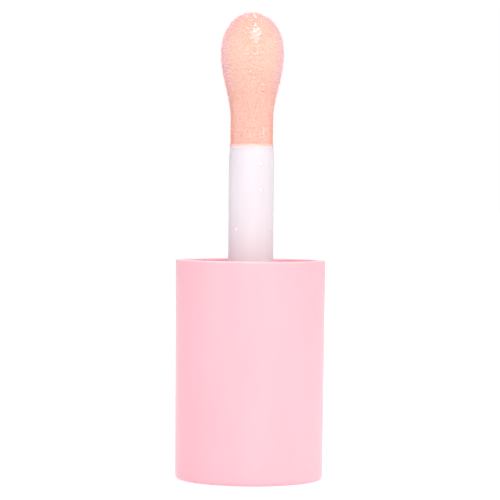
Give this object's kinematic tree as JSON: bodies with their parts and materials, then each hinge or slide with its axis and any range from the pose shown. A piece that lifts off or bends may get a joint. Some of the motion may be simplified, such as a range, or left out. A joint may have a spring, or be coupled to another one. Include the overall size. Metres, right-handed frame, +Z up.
{
  "type": "lip gloss applicator cap",
  "caption": "Round lip gloss cap standing on its closed end, with a threaded inner closure, a wand and a soft flocked teardrop tip pointing up.",
  "frame": {"origin": "centre of the cap's closed end, on the surface that it stands on", "axes": "+Z up along the wand to the tip; X across the tip's width, Y through its thickness"},
  "size_m": [0.02, 0.02, 0.0622],
  "materials": {
    "cap_plastic": "moulded pink ABS, satin gloss",
    "closure_plastic": "natural white moulded polypropylene",
    "liner_foam": "white closed-cell polyethylene foam",
    "wand_plastic": "milky translucent polypropylene",
    "tip_elastomer": "soft moulded thermoplastic elastomer",
    "tip_flock": "short nylon flock, wet with gloss"
  },
  "bodies": {
    "cap": {"overcap": "cap_plastic", "inner_closure": "closure_plastic", "seal_liner": "liner_foam", "wand": "wand_plastic", "tip_sleeve": "tip_elastomer", "flock_sleeve": "tip_flock"},
    "paddle": {"tip_paddle": "tip_elastomer", "flock_paddle": "tip_flock"}
  },
  "joints": [
    {"name": "neck_flex", "type": "hinge", "parent": "cap", "child": "paddle", "pos_m": [0, 0, 0.0512], "axis": [1, 0, 0], "range_deg": [-12, 12], "stiffness_Nm_per_rad": 0.03}
  ]
}
